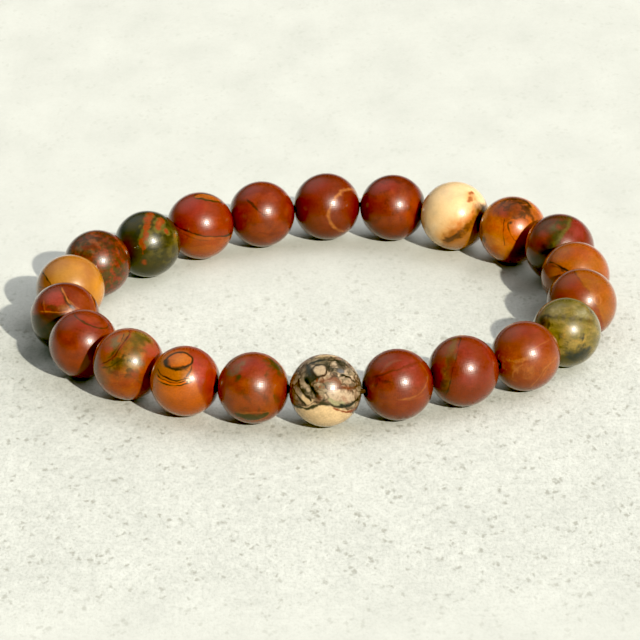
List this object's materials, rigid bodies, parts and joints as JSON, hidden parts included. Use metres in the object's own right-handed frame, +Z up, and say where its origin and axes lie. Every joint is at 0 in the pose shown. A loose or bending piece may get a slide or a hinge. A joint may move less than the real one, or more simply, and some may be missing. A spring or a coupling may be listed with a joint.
{
  "type": "beaded bracelet",
  "caption": "Stretch bracelet of round polished stone beads, drilled and strung close together on a hidden elastic thread in one closed, slightly oval loop.",
  "frame": {"origin": "middle of the bracelet's box in plan, on the surface that it lies on", "axes": "+Z up, along the wrist's axis; +X along the longer side of the loop; -Y towards the front bead, bead_01"},
  "size_m": [0.0678, 0.0616, 0.0082],
  "materials": {
    "bead_01": "polished, cream with a black-brown web",
    "bead_02": "polished, brick red with a gold vein",
    "bead_03": "polished, red brown with an olive band",
    "bead_04": "polished, red with orange veins",
    "bead_05": "polished, clouded olive and ochre",
    "bead_06": "polished, half red brown and half orange",
    "bead_07": "polished, orange red with dark specks",
    "bead_08": "polished, burgundy with an olive wedge",
    "bead_09": "polished, amber with dark swirls",
    "bead_10": "polished, cream with a brown band",
    "bead_11": "polished, plain dark red",
    "bead_12": "polished, dark red with an orange loop",
    "bead_13": "polished, red with a scratch line",
    "bead_14": "polished, two reds parted by a dark line",
    "bead_15": "polished, green black with red stripes",
    "bead_16": "polished, mottled dark red and green grey",
    "bead_17": "polished, tan with a grey centre",
    "bead_18": "polished, red with gold-edged patches",
    "bead_19": "polished, red with a dark curve",
    "bead_20": "polished, olive and tan over orange brown",
    "bead_21": "polished, terracotta and ochre with black lines",
    "bead_22": "polished, red brown with green flecks",
    "elastic": "matt dark elastic"
  },
  "bodies": {
    "root": {"bead_01": "bead_01", "bead_02": "bead_02", "bead_03": "bead_03", "bead_04": "bead_04", "bead_05": "bead_05", "bead_06": "bead_06", "bead_07": "bead_07", "bead_08": "bead_08", "bead_09": "bead_09", "bead_10": "bead_10", "bead_11": "bead_11", "bead_12": "bead_12", "bead_13": "bead_13", "bead_14": "bead_14", "bead_15": "bead_15", "bead_16": "bead_16", "bead_17": "bead_17", "bead_18": "bead_18", "bead_19": "bead_19", "bead_20": "bead_20", "bead_21": "bead_21", "bead_22": "bead_22", "elastic_thread": "elastic"}
  },
  "joints": []
}
